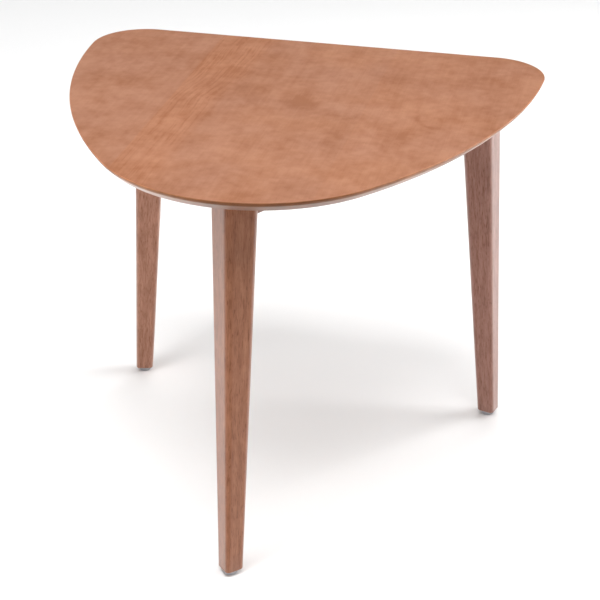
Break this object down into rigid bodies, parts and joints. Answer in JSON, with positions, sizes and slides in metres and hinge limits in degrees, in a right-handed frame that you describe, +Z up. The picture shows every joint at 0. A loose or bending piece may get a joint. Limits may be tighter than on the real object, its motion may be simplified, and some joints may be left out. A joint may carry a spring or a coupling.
{
  "type": "corner table",
  "caption": "Low corner table: a flat board with a straight back edge and bowed sides, on a hidden frame of rails with square tapered legs that lean outwards.",
  "frame": {"origin": "on the floor, under the middle of the box around the table, which the top fills from side to side and from front to back", "axes": "+X to the right along the straight back edge, +Y from the front leg to the back edge, +Z up"},
  "size_m": [0.5994, 0.53, 0.51],
  "materials": {
    "top_wood": "satin lacquer over a reddish brown stain",
    "leg_wood": "satin lacquer over a reddish brown stain",
    "frame_wood": "thin stain",
    "zinc_steel": "zinc plated",
    "grey_nylon": "moulded"
  },
  "bodies": {
    "root": {"table_top": "top_wood", "leg_front": "leg_wood", "leg_left": "leg_wood", "leg_right": "leg_wood", "rail_back": "frame_wood", "rail_left": "frame_wood", "rail_right": "frame_wood", "corner_block_front": "frame_wood", "corner_block_left": "frame_wood", "corner_block_right": "frame_wood", "hanger_bolt_front": "zinc_steel", "hanger_bolt_left": "zinc_steel", "hanger_bolt_right": "zinc_steel", "washer_front": "zinc_steel", "washer_left": "zinc_steel", "washer_right": "zinc_steel", "nut_front": "zinc_steel", "nut_left": "zinc_steel", "nut_right": "zinc_steel", "block_screw_front_1": "zinc_steel", "block_screw_front_2": "zinc_steel", "block_screw_left_1": "zinc_steel", "block_screw_left_2": "zinc_steel", "block_screw_right_1": "zinc_steel", "block_screw_right_2": "zinc_steel", "top_screw_back_1": "zinc_steel", "top_screw_back_2": "zinc_steel", "top_screw_left_1": "zinc_steel", "top_screw_left_2": "zinc_steel", "top_screw_right_1": "zinc_steel", "top_screw_right_2": "zinc_steel", "glide_front": "grey_nylon", "glide_left": "grey_nylon", "glide_right": "grey_nylon", "glide_nail_front": "zinc_steel", "glide_nail_left": "zinc_steel", "glide_nail_right": "zinc_steel"}
  },
  "joints": []
}
